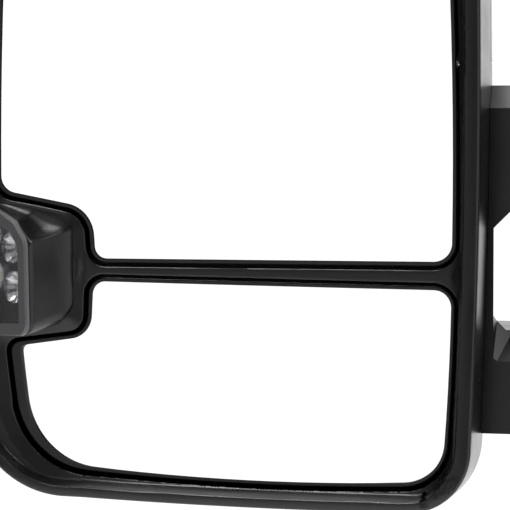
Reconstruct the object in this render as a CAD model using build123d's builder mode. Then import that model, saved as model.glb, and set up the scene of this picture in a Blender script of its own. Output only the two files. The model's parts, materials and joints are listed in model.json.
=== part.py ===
"""Door-mounted towing mirror, left-hand side, in millimetres.

Frame: the origin is the middle of the face that bolts to the door.  +X points at the door, -X outboard,
-Y rearward (the way the mirror panes look) and +Z up.

Bench layout, from the door outwards:
  base      foot, pivot post, gasket, studs and cover; stays with the door
  arm       swing bracket on the post with two telescoping arm tubes; folds about the post
  head      casing, bezel, lamp, frame and actuator; slides along the arm tubes
  panes     a power-adjusted flat pane above and a hand-adjusted convex pane below, each on a ball pivot
"""

import os
from math import cos, radians, sin

from build123d import *

# ---------------------------------------------------------------- driving dimensions
HEAD_X, HEAD_Z = -277.0, 40.0  # middle of the mirror head
GLASS_Y = -49.0  # front face of both panes
RIM = -12.0  # depths are measured from the panes' front face, rearward side negative
BEZEL_FLOOR, FLOOR_T = -3.0, 1.8
BEZEL_WALL, BEZEL_END = 2.6, 5.0  # wall of the part that enters the casing, and where it ends
CREST_INSET = 2.4  # the slope inside the crest comes in by this much on its way to the floor
SEAM = -8.4  # where the casing starts behind the bezel's edge
SEAM_GAP = 0.6  # open seam between the head's shells
CASE_STRAIGHT = 10.0  # the casing's walls run straight to this depth, then close in
CASE_BACK = 91.0
CASE_WALL = 2.8

PANE_T, HEATER_T, CARRIER_T = 2.0, 0.4, 2.6
PANE_EDGE, PANE_CHAMFER = 0.1, 0.3  # clearance round a pane in its carrier, and its ground edge
CARRIER_RIM = 1.8  # width of the carrier's edge that shows round a pane
BEAD = 1.0  # the carrier's edge stands this far proud of the pane
UPPER_GAP, LOWER_GAP = 1.5, 1.6  # running gaps between the carriers and the bezel
CONVEX_R = 1800.0  # the lower pane's radius of curvature
CONVEX_RISE = 1.8
CONVEX_MIDDLE = (5.0, -93.0)
HEATER_INSET = 4.0

ARM_UP_Z, ARM_LOW_Z = 50.25, -52.5
TUBE_Y, TUBE_Z, TUBE_WALL, TUBE_R = 28.0, 38.0, 3.0, 6.0
TUBE_IN, TUBE_OUT = -340.0, -80.0  # ends of the arm tubes, outboard and inboard
GUIDE_CLEAR = 0.1
BUSH_WALL, BUSH_L = 2.0, 24.0
HOUSING_WALL = 3.0
HOUSING_IN, HOUSING_OUT = -250.0, -183.0
SLEEVE_END = -127.0
SLEEVE_IN = -200.0
SLEEVE_REAR, SLEEVE_FRONT = -35.0, 29.0
SLEEVE_LOW, SLEEVE_HIGH = -75.0, 78.0
GAP_LOW, GAP_HIGH, GAP_CUT = -30.0, 22.5, 7.0  # the opening between the two sleeves
GAP_LEAN = 18.0  # the opening's inner side leans outboard by this much from rear to front
SLEEVE_BEVEL, LOWER_BEVEL = 10.0, 13.0
INNER_BEVEL = 0.85  # size of the bevels on the inside, against those outside
SLEEVE_WALL = 3.0
WEB_X = -157.5

FRAME_Y, FRAME_T, FRAME_CORNER = -19.0, 3.5, 12.0  # the head frame's plate: rear face and thickness
FRAME_LOW, FRAME_HIGH, FRAME_OUTER = -98.0, 84.0, -346.0
CASE_POSTS = ((-330.0, 77.0), (-205.0, 0.0), (-330.0, 0.0), (-330.0, -78.0))
POST_END = 70.0  # depth at which the frame's posts meet the casing's bosses
FRAME_POST_R, BOSS_R, BOSS_L, BOSS_GAP = 4.0, 4.5, 30.0, 0.2
PILOT_R, CLEARANCE_R, SCREW_R = 1.6, 1.7, 1.55  # holes for the self-tapping screws, and the screws
SCREW_BITE, PILOT_L = 10.0, 11.0
CASE_HEAD_R, CASE_HEAD_H, FOOT_HEAD_R, FOOT_HEAD_H = 3.6, 2.2, 3.4, 2.0

PIVOT_X = -46.0
POST_R, HUB_R, SHELF_R = 8.0, 20.0, 20.5
POST_CLEAR = 0.05
SHELF_TOP, SHELF_T = -60.0, 12.0
HUB_LOW, HUB_HIGH = -57.2, 56.0
SPRING_FLOOR, SPRING_TOP = 24.0, 47.0
SOCKET_PLATE_T, SPIGOT_L = 10.0, 26.0
TUBE_SCREWS = (7.0, 17.0)  # distances of the tube screws from the tube's inboard end
COVER_R, COVER_Y, COVER_WALL = 27.0, 23.0, 2.5
COVER_CHAMFER, COVER_TUBE_CLEAR, COVER_HUB_CLEAR, COVER_SPLIT = 4.0, 0.4, 0.6, 0.3
COVER_END = -106.0
COVER_LOW, COVER_HIGH = -82.0, 82.0
PLATE_X = -14.0  # outboard face of the foot's plate
PLATE_Y, PLATE_LOW, PLATE_HIGH, PLATE_CORNER = 54.0, -96.0, 66.0, 22.0
STUD_PCD, STUD_R, STUD_L = 96.0, 4.0, 26.0
STUD_ROOT_R, STUD_ROOT_L, STUD_CHAMFER = 4.5, 10.0, 1.0  # the root is pressed into the foot

# Corners run clockwise seen from the glass side: x, z, corner radius, bulge of the side to the next corner.
OUTER = (
    (-116.5, 146.0, 46, 2.5),
    (115.1, 147.5, 30, 3.6),
    (112.1, -147.5, 28, 2.3),
    (-112.5, -143.6, 46, 4.8),
)
CREST = (
    (-110.0, 141.0, 38, 2.0),
    (108.3, 142.5, 24, 3.9),
    (105.2, -142.6, 22, 2.3),
    (-103.0, -138.6, 37, 4.5),
)
UPPER_PANE = (
    (-99.0, 134.5, 28, 1.4),
    (99.3, 135.5, 19, 1.9),
    (103.6, -39.1, 8.5, 0),
    (-58.8, -39.6, 6, 0),
    (-60.3, -17.2, 15, 0),
    (-103.3, -9.1, 8, 1.3),
)
LOWER_PANE = (
    (-59.8, -49.6, 6, 0),
    (103.3, -51.4, 7.5, 0.8),
    (99.1, -135.2, 19, 3.9),
    (-87.0, -130.8, 35, 0.4),
    (-94.2, -79.3, 3, 0),
    (-60.7, -74.3, 11, 0),
)
LOWER_SEAT_SHIFT = 2.8  # the lower carrier's outer edge stands this much wider than its pane
UPPER_PIVOT = (-5.0, 62.0)
LOWER_PIVOT = (10.0, -92.0)
PIVOT_DEPTH = 10.0
PIVOT_PIN_R, PIVOT_PIN_CLEAR = 2.0, 0.06
CROSS_W, CROSS_T = 8.0, 4.6
EAR_FROM, EAR_TO, EAR_R, EAR_ROOT = 6.5, 9.5, 3.0, 0.5
JACK_ARM = 30.0  # distance of each jack from the pivot
BALL_R, BALL_CLEAR, BALL_CUP_WALL, BALL_CUP_PAST = 3.5, 0.7, 1.5, 2.0
JACK_STEM_R, JACK_L, JACK_CLEAR = 2.0, 22.0, 0.6
ACTUATOR_FRONT, ACTUATOR_BACK = 19.0, 41.0
ACTUATOR_WALL, ACTUATOR_LID, ACTUATOR_CORNER = 2.0, 2.5, 10.0

# The side lamp looks outward and rearward from the bezel's outer edge.
LAMP_TURN = 35.0
LAMP_EDGE_X, LAMP_EDGE_DEPTH = -83.2, -25.0
LAMP_FRAME_T = 2.0
LAMP_CLEAR, POD_WALL, LAMP_POCKET = 0.25, 2.6, 15.0
LAMP_FACE = (
    (-1.0, -31.0, 7, 0),
    (0.3, -73.0, 6, 0),
    (-42.0, -75.0, 7, 0),
    (-42.0, -9.5, 9, 0),
    (-9.0, -22.5, 9, 0),
)
POD_BASE = (
    (-68.0, -28.0, 6, 0),
    (-68.0, -60.0, 6, 0),
    (-113.0, -73.0, 3, 0),
    (-113.0, -13.5, 3, 0),
    (-86.0, -18.5, 8, 0),
)
LAMP_CUPS = ((-13.0, -34.0), (-11.4, -51.7), (-28.6, -29.0), (-27.0, -47.0))
CUP_R = 7.3


# ---------------------------------------------------------------- shared shapes
def head_plane(depth):
    """Plane parallel to the panes, at a depth behind their front face, centred on the head."""
    return Plane(origin=(HEAD_X, GLASS_Y + depth, HEAD_Z), x_dir=(1, 0, 0), z_dir=(0, -1, 0))


def lamp_plane(depth):
    """Plane of the side lamp's face, moved inward by a depth."""
    normal = Vector(-sin(radians(LAMP_TURN)), -cos(radians(LAMP_TURN)), 0)
    edge = Vector(HEAD_X + LAMP_EDGE_X, GLASS_Y + LAMP_EDGE_DEPTH, HEAD_Z)
    along = Vector(cos(radians(LAMP_TURN)), -sin(radians(LAMP_TURN)), 0)
    return Plane(origin=edge - normal * depth, x_dir=along, z_dir=normal)


def cross_plane(x):
    """Plane across the arms at x; its own x runs along +Y and its own y along +Z."""
    return Plane(origin=(x, 0, 0), x_dir=(0, 1, 0), z_dir=(1, 0, 0))


def rounded(corners):
    """Flat outline through the given corners, with bulged sides and rounded corners."""
    with BuildSketch() as flat:
        with BuildLine():
            for here, there in zip(corners, corners[1:] + corners[:1]):
                a, b = Vector(here[0], here[1]), Vector(there[0], there[1])
                side = b - a
                if here[3]:
                    out = Vector(-side.Y, side.X).normalized()
                    ThreePointArc(a, (a + b) / 2 + out * here[3], b)
                else:
                    Line(a, b)
        make_face()
        for x, z, radius, _ in corners:
            fillet(flat.vertices().sort_by_distance((x, z))[0], radius)
    return flat.sketch


def grown_corners(corners, amount):
    """The same outline moved outwards by an amount (inwards if negative), corner by corner."""
    moved = []
    for before, here, after in zip(corners[-1:] + corners[:-1], corners, corners[1:] + corners[:1]):
        a, b, c = (Vector(corner[0], corner[1]) for corner in (before, here, after))
        into, away = (b - a).normalized(), (c - b).normalized()
        out_into, out_away = Vector(-into.Y, into.X), Vector(-away.Y, away.X)
        shift = (out_into + out_away) * (amount / (1 + out_into.dot(out_away)))
        convex = 1 if into.X * away.Y - into.Y * away.X < 0 else -1
        radius = max(here[2] + convex * amount, 0.5)
        moved.append((b.X + shift.X, b.Y + shift.Y, radius, here[3]))
    return tuple(moved)


def grown(corners, amount):
    """The rounded outline, moved outwards by an amount (inwards if negative)."""
    return rounded(grown_corners(corners, amount))


def case_section(scale, wall):
    """The casing's outline at one depth: the bezel's outline, scaled, and moved in by the wall."""
    return tuple(
        (
            x * scale - wall * (1 if x > 0 else -1),
            z * scale - wall * (1 if z > 0 else -1),
            max(r * scale - wall, 2.0),
            bulge * scale,
        )
        for x, z, r, bulge in OUTER
    )


CASE_LEVELS = ((10.0, 1.0), (24.0, 0.995), (42.0, 0.97), (60.0, 0.92), (77.0, 0.835), (CASE_BACK, 0.70))


def case_body(wall):
    """The casing's outer shape (wall 0) or the hollow inside it, as one closed solid."""
    with BuildPart() as body:
        for depth, scale in CASE_LEVELS:
            shrink = wall if depth == CASE_BACK else 0
            with BuildSketch(head_plane(depth - shrink)):
                add(rounded(case_section(scale, wall)))
        loft()
        with BuildSketch(head_plane(SEAM)):
            add(rounded(case_section(1.0, wall)))
        extrude(amount=-(CASE_STRAIGHT - SEAM))
    return body.part


def sleeve_outline(margin):
    """The C shape of the arm sleeve seen from behind: two sleeves joined by a web, with cut corners."""
    web, end = WEB_X + margin, SLEEVE_END + margin
    low, high = SLEEVE_LOW - margin, SLEEVE_HIGH + margin
    gap_low, gap_high = GAP_LOW + margin, GAP_HIGH - margin
    points = (
        (SLEEVE_IN - margin, low),
        (end, low),
        (end, gap_low),
        (web + GAP_CUT, gap_low),
        (web, gap_low + GAP_CUT),
        (web, gap_high - GAP_CUT),
        (web + GAP_CUT, gap_high),
        (end, gap_high),
        (end, high),
        (SLEEVE_IN - margin, high),
    )
    with BuildSketch() as flat:
        with BuildLine():
            Polyline(*points, close=True)
        make_face()
    return flat.sketch


def sleeve_gap(margin):
    """The opening between the two sleeves, leaning outboard towards the front."""
    web, low, high = WEB_X + margin, GAP_LOW + margin, GAP_HIGH - margin
    inner_side = ((web + GAP_CUT, low), (web, low + GAP_CUT), (web, high - GAP_CUT), (web + GAP_CUT, high))
    outer_side = ((SLEEVE_END + 2 * GAP_LEAN, high), (SLEEVE_END + 2 * GAP_LEAN, low))
    with BuildPart() as gap:
        for y, lean in ((SLEEVE_REAR - margin, 0.0), (SLEEVE_FRONT + margin, GAP_LEAN)):
            with BuildSketch(Plane(origin=(-lean, y, 0), x_dir=(1, 0, 0), z_dir=(0, -1, 0))):
                with BuildLine():
                    Polyline(*inner_side, *outer_side, close=True)
                make_face()
        loft(ruled=True)
    return gap.part


def tube_section(extra=0.0, radius=TUBE_R):
    """Rounded rectangle of an arm tube's section, grown on each side by extra."""
    with BuildSketch() as flat:
        RectangleRounded(TUBE_Y + 2 * extra, TUBE_Z + 2 * extra, radius + extra)
    return flat.sketch


def bar_between(x_from, x_to, z, section):
    """A straight bar of the given section along X, at height z."""
    with BuildPart() as bar:
        with BuildSketch(cross_plane(x_from)):
            with Locations((0, z)):
                add(section)
        extrude(amount=x_to - x_from)
    return bar.part


def screw(head_r, head_h, shank_r, shank_l):
    """A pan-head screw: the head's underside at the origin, the shank along -Z, with a cross recess."""
    with BuildPart() as made:
        Cylinder(head_r, head_h, align=(Align.CENTER, Align.CENTER, Align.MIN))
        fillet(made.edges().group_by(Axis.Z)[-1], head_h * 0.45)
        Cylinder(shank_r, shank_l, align=(Align.CENTER, Align.CENTER, Align.MAX))
        with Locations((0, 0, head_h)):
            Box(head_r, head_r * 0.22, head_h * 0.9, mode=Mode.SUBTRACT)
            Box(head_r * 0.22, head_r, head_h * 0.9, mode=Mode.SUBTRACT)
    return made.part


def save(builder, name):
    """Labels a finished sub-part and writes it as its own file."""
    part = builder.part
    part.label = name
    export_step(part, f"parts/{name}.step")
    return part


os.makedirs("parts", exist_ok=True)

upper_seat = UPPER_PANE
lower_seat = tuple(
    (x - LOWER_SEAT_SHIFT if x < -80 else x, z, r, bulge) for x, z, r, bulge in LOWER_PANE
)

# ---------------------------------------------------------------- bezel with the lamp pod
TONGUE = 3.0  # the bezel steps in by this much where it enters the casing
RIB_LEFT, RIB_RIGHT, RIB_Z, RIB_T, RIB_END = -66.0, 111.0, -44.5, 1.6, 6.0
EDGE_ROUND = 0.8
THROUGH = 60.0  # length of a cut that goes right through
with BuildPart() as pod_wall:
    with BuildSketch(head_plane(0)):
        add(rounded(POD_BASE))
    with BuildSketch(lamp_plane(LAMP_FRAME_T)):
        add(rounded(LAMP_FACE))
    loft(ruled=True)

# Nothing stands in front of the lamp's face, and its works sit in a pocket behind it.
with BuildPart() as lamp_space:
    with BuildSketch(lamp_plane(LAMP_FRAME_T)):
        add(grown(LAMP_FACE, LAMP_CLEAR))
    extrude(amount=THROUGH)
    with BuildSketch(lamp_plane(LAMP_FRAME_T)):
        add(grown(LAMP_FACE, -POD_WALL))
    extrude(amount=-LAMP_POCKET)

with BuildPart() as glass_bezel:
    with BuildSketch(head_plane(RIM)):
        add(rounded(OUTER))
    extrude(amount=RIM - SEAM + SEAM_GAP)
    fillet(glass_bezel.faces().sort_by(Axis.Y)[0].edges(), EDGE_ROUND)
    with BuildSketch(head_plane(SEAM - SEAM_GAP)):
        add(grown(OUTER, -TONGUE))
    extrude(amount=SEAM - SEAM_GAP - BEZEL_END)
    # The slope from the crest down to the floor round the panes.
    with BuildSketch(head_plane(RIM)):
        add(rounded(CREST))
    with BuildSketch(head_plane(BEZEL_FLOOR)):
        add(grown(CREST, -CREST_INSET))
    loft(mode=Mode.SUBTRACT)
    # Behind the floor the bezel is open, so that the panes can swing back.
    with BuildSketch(head_plane(BEZEL_FLOOR + FLOOR_T)):
        add(grown(OUTER, -TONGUE - BEZEL_WALL))
    extrude(amount=-THROUGH, mode=Mode.SUBTRACT)
    # A rib stiffens the bar between the panes.
    with BuildSketch(head_plane(RIB_END)):
        with Locations(((RIB_LEFT + RIB_RIGHT) / 2, RIB_Z)):
            Rectangle(RIB_RIGHT - RIB_LEFT, RIB_T)
    extrude(amount=RIB_END - BEZEL_FLOOR - FLOOR_T / 2)
    for seat, gap in ((upper_seat, UPPER_GAP), (lower_seat, LOWER_GAP)):
        with BuildSketch(head_plane(RIM)):
            add(grown(seat, CARRIER_RIM + gap))
        extrude(amount=-THROUGH, mode=Mode.SUBTRACT)
    add(pod_wall.part)
    add(lamp_space.part, mode=Mode.SUBTRACT)
save(glass_bezel, "glass_bezel")


# ---------------------------------------------------------------- casing and skull cap
CAP_LOW, CAP_DEPTH = 48.0, 18.0  # the cap covers the casing above and in front of these
CAP_BOX_W, CAP_BOX_H = 300.0, 140.0
CASE_REAR_ROUND, TUBE_HOLE_CLEAR, BOSS_INSET = 9.0, 1.5, 1.0


def cap_region(margin):
    """Box that holds the skull cap, moved in by a margin on its two seams."""
    depth = CASE_BACK + 10 - CAP_DEPTH - margin
    centre = (
        HEAD_X,
        GLASS_Y + CAP_DEPTH + margin + depth / 2,
        HEAD_Z + CAP_LOW + margin + CAP_BOX_H / 2,
    )
    with BuildPart() as region:
        with Locations(centre):
            Box(CAP_BOX_W, depth, CAP_BOX_H)
    return region.part


with BuildPart() as case_shell:
    add(case_body(0))
    fillet(case_shell.faces().sort_by(Axis.Y)[-1].edges(), CASE_REAR_ROUND)
    add(case_body(CASE_WALL), mode=Mode.SUBTRACT)
    add(pod_wall.part, mode=Mode.SUBTRACT)
    add(lamp_space.part, mode=Mode.SUBTRACT)
    for arm_z in (ARM_UP_Z, ARM_LOW_Z):
        passage = bar_between(SLEEVE_IN, SLEEVE_IN + THROUGH, arm_z, tube_section(TUBE_HOLE_CLEAR))
        add(passage, mode=Mode.SUBTRACT)

with BuildPart() as case_bosses:
    for post_x, post_z in CASE_POSTS:
        with BuildSketch(head_plane(POST_END + BOSS_GAP)):
            with Locations((post_x - HEAD_X, post_z - HEAD_Z)):
                Circle(BOSS_R)
        extrude(amount=-BOSS_L)
    add(case_body(BOSS_INSET), mode=Mode.INTERSECT)

with BuildPart() as head_casing:
    add(case_shell.part)
    add(case_bosses.part)
    add(cap_region(0), mode=Mode.SUBTRACT)
    for post_x, post_z in CASE_POSTS:
        with BuildSketch(head_plane(POST_END + PILOT_L)):
            with Locations((post_x - HEAD_X, post_z - HEAD_Z)):
                Circle(PILOT_R)
        extrude(amount=PILOT_L + 1, mode=Mode.SUBTRACT)
save(head_casing, "head_casing")

with BuildPart() as skull_cap:
    add(case_shell.part)
    add(cap_region(SEAM_GAP), mode=Mode.INTERSECT)
save(skull_cap, "skull_cap")

# ---------------------------------------------------------------- arm sleeve
SLEEVE_TUBE_CLEAR, SLEEVE_CASE_GAP = 0.6, 0.15


def sleeve_form(shrink):
    """The sleeve's outer form, with its bevels, moved in by shrink."""
    back = Plane(origin=(0, SLEEVE_REAR + shrink, 0), x_dir=(1, 0, 0), z_dir=(0, -1, 0))
    share = 1.0 if shrink == 0 else INNER_BEVEL
    with BuildPart() as form:
        with BuildSketch(back):
            add(sleeve_outline(-shrink))
        extrude(amount=-(SLEEVE_FRONT - SLEEVE_REAR - 2 * shrink))
        for side in (0, -1):
            rim = form.faces().filter_by(Axis.Y).sort_by(Axis.Y)[side].edges()
            chamfer(rim.filter_by(Axis.X).sort_by(Axis.Z)[-1], SLEEVE_BEVEL * share)
        rim = form.faces().filter_by(Axis.Y).sort_by(Axis.Y)[0].edges()
        inner_top = rim.filter_by(Axis.X).sort_by(Axis.Z)[1]
        inner_end = inner_top.vertices().sort_by(Axis.X)[0]
        meeting = rim.sort_by_distance(inner_end)[:2]
        slanted = [edge for edge in meeting if abs(edge.tangent_at(0).X) < 0.9]
        chamfer([inner_top, *slanted], LOWER_BEVEL * share)
        add(sleeve_gap(-shrink), mode=Mode.SUBTRACT)
    return form.part


with BuildPart() as arm_sleeve:
    add(sleeve_form(0))
    add(sleeve_form(SLEEVE_WALL), mode=Mode.SUBTRACT)
    for arm_z in (ARM_UP_Z, ARM_LOW_Z):
        passage = bar_between(SLEEVE_END - 10, SLEEVE_END + 10, arm_z, tube_section(SLEEVE_TUBE_CLEAR))
        add(passage, mode=Mode.SUBTRACT)
    add(case_body(-SLEEVE_CASE_GAP), mode=Mode.SUBTRACT)
save(arm_sleeve, "arm_sleeve")


# ---------------------------------------------------------------- side lamp
LAMP_STRIP = 5.4  # width of the grey frame round the lamp's window
LAMP_TUB_WALL, LAMP_TUB_BACK = 1.3, 14.5
REFLECTOR_FRONT, REFLECTOR_BACK = 2.4, 10.4
BOARD_T, CHIP, CHIP_T = 1.6, 2.6, 1.0
LENS_FROM, LENS_T = 2.2, 1.5
TUB_INSET, REFLECTOR_INSET, BOARD_INSET = 2.8, 4.3, 4.6
FRAME_CHAMFER, JOINT_GAP = 0.7, 0.05

with BuildPart() as spot_lamp_frame:
    with BuildSketch(lamp_plane(LAMP_FRAME_T - JOINT_GAP)):
        add(rounded(LAMP_FACE))
        add(grown(LAMP_FACE, -LAMP_STRIP), mode=Mode.SUBTRACT)
    extrude(amount=LAMP_FRAME_T - JOINT_GAP)
    lamp_front = spot_lamp_frame.faces().filter_by(lamp_plane(0)).sort_by(Axis.Y)[0]
    chamfer(lamp_front.outer_wire().edges(), FRAME_CHAMFER)
save(spot_lamp_frame, "spot_lamp_frame")

with BuildPart() as spot_lamp_lens:
    with BuildSketch(lamp_plane(LENS_FROM)):
        add(grown(LAMP_FACE, -LAMP_STRIP - PANE_EDGE))
    extrude(amount=LENS_T)
save(spot_lamp_lens, "spot_lamp_lens")

with BuildPart() as spot_lamp_tub:
    with BuildSketch(lamp_plane(LAMP_TUB_BACK)):
        add(grown(LAMP_FACE, -TUB_INSET))
    extrude(amount=LAMP_TUB_BACK - LENS_FROM - 2 * JOINT_GAP)
    with BuildSketch(lamp_plane(LAMP_TUB_BACK - LAMP_TUB_WALL)):
        add(grown(LAMP_FACE, -TUB_INSET - LAMP_TUB_WALL))
    extrude(amount=LAMP_TUB_BACK, mode=Mode.SUBTRACT)
save(spot_lamp_tub, "spot_lamp_tub")

with BuildPart() as spot_lamp_reflector:
    with BuildSketch(lamp_plane(REFLECTOR_BACK)):
        add(grown(LAMP_FACE, -REFLECTOR_INSET))
    extrude(amount=REFLECTOR_BACK - REFLECTOR_FRONT)
    for cup in LAMP_CUPS:
        with BuildSketch(lamp_plane(REFLECTOR_FRONT)):
            with Locations(cup):
                Circle(CUP_R)
        with BuildSketch(lamp_plane(REFLECTOR_BACK)):
            with Locations(cup):
                Circle(CHIP * 0.85)
        loft(mode=Mode.SUBTRACT)
save(spot_lamp_reflector, "spot_lamp_reflector")

with BuildPart() as spot_lamp_board:
    with BuildSketch(lamp_plane(REFLECTOR_BACK + BOARD_T)):
        add(grown(LAMP_FACE, -BOARD_INSET))
    extrude(amount=BOARD_T)
save(spot_lamp_board, "spot_lamp_board")

with BuildPart() as spot_lamp_leds:
    with BuildSketch(lamp_plane(REFLECTOR_BACK)):
        with Locations(*LAMP_CUPS):
            Rectangle(CHIP, CHIP)
    extrude(amount=CHIP_T)
save(spot_lamp_leds, "spot_lamp_leds")


# ---------------------------------------------------------------- panes
def carrier_body(seat, pane):
    """A pane's carrier: a shallow tray with a proud bead round its edge."""
    with BuildPart() as tray:
        with BuildSketch(head_plane(PANE_T + HEATER_T + CARRIER_T)):
            add(grown(seat, CARRIER_RIM))
        extrude(amount=PANE_T + HEATER_T + CARRIER_T + BEAD)
        chamfer(tray.faces().sort_by(Axis.Y)[0].edges(), BEAD / 2)
        with BuildSketch(head_plane(PANE_T + HEATER_T)):
            add(grown(pane, PANE_EDGE))
        extrude(amount=PANE_T + HEATER_T + BEAD + 1, mode=Mode.SUBTRACT)
    return tray.part


def pivot_ears(centre, from_depth, along):
    """Two ears with pin holes either side of a pivot, standing on a face at from_depth."""
    reach = from_depth - PIVOT_DEPTH
    side = 1 if reach > 0 else -1
    middle = (EAR_FROM + EAR_TO) / 2
    width = EAR_TO - EAR_FROM
    plane = Plane(
        origin=(HEAD_X + centre[0], GLASS_Y + PIVOT_DEPTH, HEAD_Z + centre[1]),
        x_dir=(0, side, 0),
        z_dir=(1, 0, 0) if along == "x" else (0, 0, 1),
    )
    with BuildPart() as ears:
        for offset_along in (-middle, middle):
            with BuildSketch(plane.offset(offset_along - width / 2)):
                Circle(EAR_R)
                with Locations((abs(reach) / 2, 0)):
                    Rectangle(abs(reach), 2 * EAR_R)
                Circle(PIVOT_PIN_R + PIVOT_PIN_CLEAR, mode=Mode.SUBTRACT)
            extrude(amount=width)
    return ears.part


def pivot_cross(centre):
    """The four-armed cross between a pane's ears and the head's ears."""
    with BuildPart() as cross:
        with Locations((HEAD_X + centre[0], GLASS_Y + PIVOT_DEPTH, HEAD_Z + centre[1])):
            Box(CROSS_W, CROSS_T, CROSS_W)
            Cylinder(PIVOT_PIN_R, 2 * EAR_TO, rotation=(0, 90, 0))
            Cylinder(PIVOT_PIN_R, 2 * EAR_TO)
    return cross.part


def ball_cup(centre, direction):
    """The cup on a carrier's back that holds a jack's ball."""
    x = centre[0] + JACK_ARM * direction[0]
    z = centre[1] + JACK_ARM * direction[1]
    back = PANE_T + HEATER_T + CARRIER_T
    with BuildPart() as cup:
        with BuildSketch(head_plane(back - 0.01)):
            with Locations((x, z)):
                Circle(BALL_R + BALL_CLEAR + BALL_CUP_WALL)
                Circle(BALL_R + BALL_CLEAR, mode=Mode.SUBTRACT)
        extrude(amount=back - PIVOT_DEPTH - BALL_CUP_PAST)
    return cup.part


def jack(centre, direction):
    """A jack: a ball on a screwed stem that reaches back into the actuator."""
    x = HEAD_X + centre[0] + JACK_ARM * direction[0]
    z = HEAD_Z + centre[1] + JACK_ARM * direction[1]
    y = GLASS_Y + PIVOT_DEPTH
    with BuildPart() as made:
        with Locations((x, y, z)):
            Sphere(BALL_R)
        with BuildSketch(Plane(origin=(x, y, z), x_dir=(1, 0, 0), z_dir=(0, 1, 0))):
            Circle(JACK_STEM_R)
        extrude(amount=JACK_L)
    return made.part


with BuildPart() as upper_glass_pane:
    with BuildSketch(head_plane(PANE_T)):
        add(rounded(UPPER_PANE))
    extrude(amount=PANE_T)
    chamfer(upper_glass_pane.faces().sort_by(Axis.Y)[0].edges(), PANE_CHAMFER)
save(upper_glass_pane, "upper_glass_pane")

with BuildPart() as upper_heater_pad:
    with BuildSketch(head_plane(PANE_T + HEATER_T)):
        add(grown(UPPER_PANE, -HEATER_INSET))
    extrude(amount=HEATER_T)
save(upper_heater_pad, "upper_heater_pad")

TILT_JACK, PAN_JACK = (0.0, 1.0), (1.0, 0.0)
with BuildPart() as upper_pane_carrier:
    add(carrier_body(upper_seat, UPPER_PANE))
    add(pivot_ears(UPPER_PIVOT, PANE_T + HEATER_T + CARRIER_T, "z"))
    add(ball_cup(UPPER_PIVOT, TILT_JACK))
    add(ball_cup(UPPER_PIVOT, PAN_JACK))
save(upper_pane_carrier, "upper_pane_carrier")

with BuildPart() as upper_pivot_cross:
    add(pivot_cross(UPPER_PIVOT))
save(upper_pivot_cross, "upper_pivot_cross")

with BuildPart() as tilt_jack:
    add(jack(UPPER_PIVOT, TILT_JACK))
save(tilt_jack, "tilt_jack")

with BuildPart() as pan_jack:
    add(jack(UPPER_PIVOT, PAN_JACK))
save(pan_jack, "pan_jack")

with BuildPart() as lower_glass_pane:
    with BuildSketch(head_plane(PANE_T)):
        add(rounded(LOWER_PANE))
    extrude(amount=PANE_T + CONVEX_RISE + 1)
    ball_x, ball_z = HEAD_X + CONVEX_MIDDLE[0], HEAD_Z + CONVEX_MIDDLE[1]
    with Locations((ball_x, GLASS_Y - CONVEX_RISE + CONVEX_R, ball_z)):
        Sphere(CONVEX_R, mode=Mode.INTERSECT)
save(lower_glass_pane, "lower_glass_pane")

with BuildPart() as lower_pane_carrier:
    add(carrier_body(lower_seat, LOWER_PANE))
    with BuildSketch(head_plane(PANE_T + HEATER_T)):
        add(grown(LOWER_PANE, PANE_EDGE))
    extrude(amount=HEATER_T)
    add(pivot_ears(LOWER_PIVOT, PANE_T + HEATER_T + CARRIER_T, "z"))
save(lower_pane_carrier, "lower_pane_carrier")

with BuildPart() as lower_pivot_cross:
    add(pivot_cross(LOWER_PIVOT))
save(lower_pivot_cross, "lower_pivot_cross")

# ---------------------------------------------------------------- actuator
ACTUATOR = (6.0, 75.0)  # middle of the actuator's case, from the head's middle
ACTUATOR_W, ACTUATOR_H = 66.0, 62.0
FOOT_W, FOOT_H, FOOT_DROP, FOOT_T = 50.0, 14.0, 5.0, 2.5
FOOT_SCREWS = ((-8.0, 40.0), (20.0, 40.0))
FOOT_SCREW_L = 5.5
MOTOR_R, MOTOR_L, MOTOR_DEPTH, SHAFT_R, SHAFT_L = 8.0, 22.0, 30.0, 1.0, 6.0
MOTOR_PLACES = ((16.0, 94.0), (-10.0, 72.0))


def actuator_block(depth, thickness, margin):
    """A rounded block of the actuator's outline, from a depth rearwards."""
    with BuildPart() as block:
        with BuildSketch(head_plane(depth)):
            with Locations(ACTUATOR):
                RectangleRounded(
                    ACTUATOR_W - 2 * margin, ACTUATOR_H - 2 * margin, ACTUATOR_CORNER - margin
                )
        extrude(amount=thickness)
    return block.part


with BuildPart() as actuator_case:
    add(actuator_block(ACTUATOR_BACK, ACTUATOR_BACK - ACTUATOR_FRONT - ACTUATOR_LID, 0))
    hollow = actuator_block(ACTUATOR_BACK - ACTUATOR_WALL, ACTUATOR_BACK, ACTUATOR_WALL)
    add(hollow, mode=Mode.SUBTRACT)
    # Foot that screws to the head frame, below the case.
    with BuildSketch(head_plane(-GLASS_Y + FRAME_Y)):
        with Locations((ACTUATOR[0], ACTUATOR[1] - ACTUATOR_H / 2 - FOOT_DROP)):
            Rectangle(FOOT_W, FOOT_H)
    extrude(amount=FOOT_T)
    with BuildSketch(head_plane(ACTUATOR_BACK)):
        with Locations(*FOOT_SCREWS):
            Circle(CLEARANCE_R)
    extrude(amount=ACTUATOR_BACK, mode=Mode.SUBTRACT)
save(actuator_case, "actuator_case")

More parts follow.
